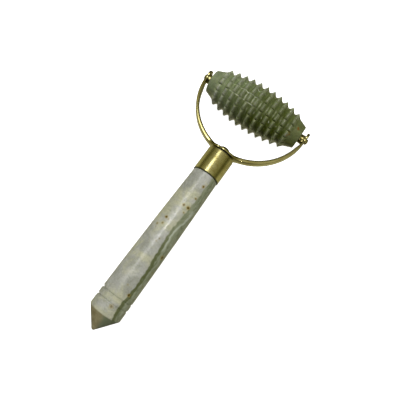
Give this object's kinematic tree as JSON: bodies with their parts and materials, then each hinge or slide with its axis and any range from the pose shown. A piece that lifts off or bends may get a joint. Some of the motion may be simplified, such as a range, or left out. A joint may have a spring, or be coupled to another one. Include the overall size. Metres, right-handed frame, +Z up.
{
  "type": "jade face roller",
  "caption": "Face massage roller: pointed jade handle, brass ferrule and bow, and a barrel of jade teeth that spins on an axle between the bow's arms.",
  "frame": {"origin": "under the middle of the tool's bounding box, on the surface that the tool lies on", "axes": "+Y along the tool from the handle's pointed butt to the roller, +X along the axle, +Z up from the surface"},
  "size_m": [0.0616, 0.1394, 0.0245],
  "materials": {
    "handle_jade": "polished, pale grey-green with dark green clouds",
    "roller_jade": "polished, sage green",
    "brass": "polished olive-gold with fine drawing marks",
    "adhesive": "cured dark epoxy",
    "fibre": "dark vulcanised fibre"
  },
  "bodies": {
    "frame": {"handle": "handle_jade", "handle_insert": "brass", "adhesive_ring": "adhesive", "ferrule": "brass", "seat_washer": "fibre", "bow": "brass", "bow_screw": "brass", "axle": "brass", "washer_left": "brass", "washer_right": "brass"},
    "roller_barrel": {"roller": "roller_jade", "bush_left": "brass", "bush_right": "brass"}
  },
  "joints": [
    {"name": "roller_spin", "type": "hinge", "parent": "frame", "child": "roller_barrel", "pos_m": [0, 0.05743, 0.01227], "axis": [1, 0, 0], "continuous": true}
  ]
}
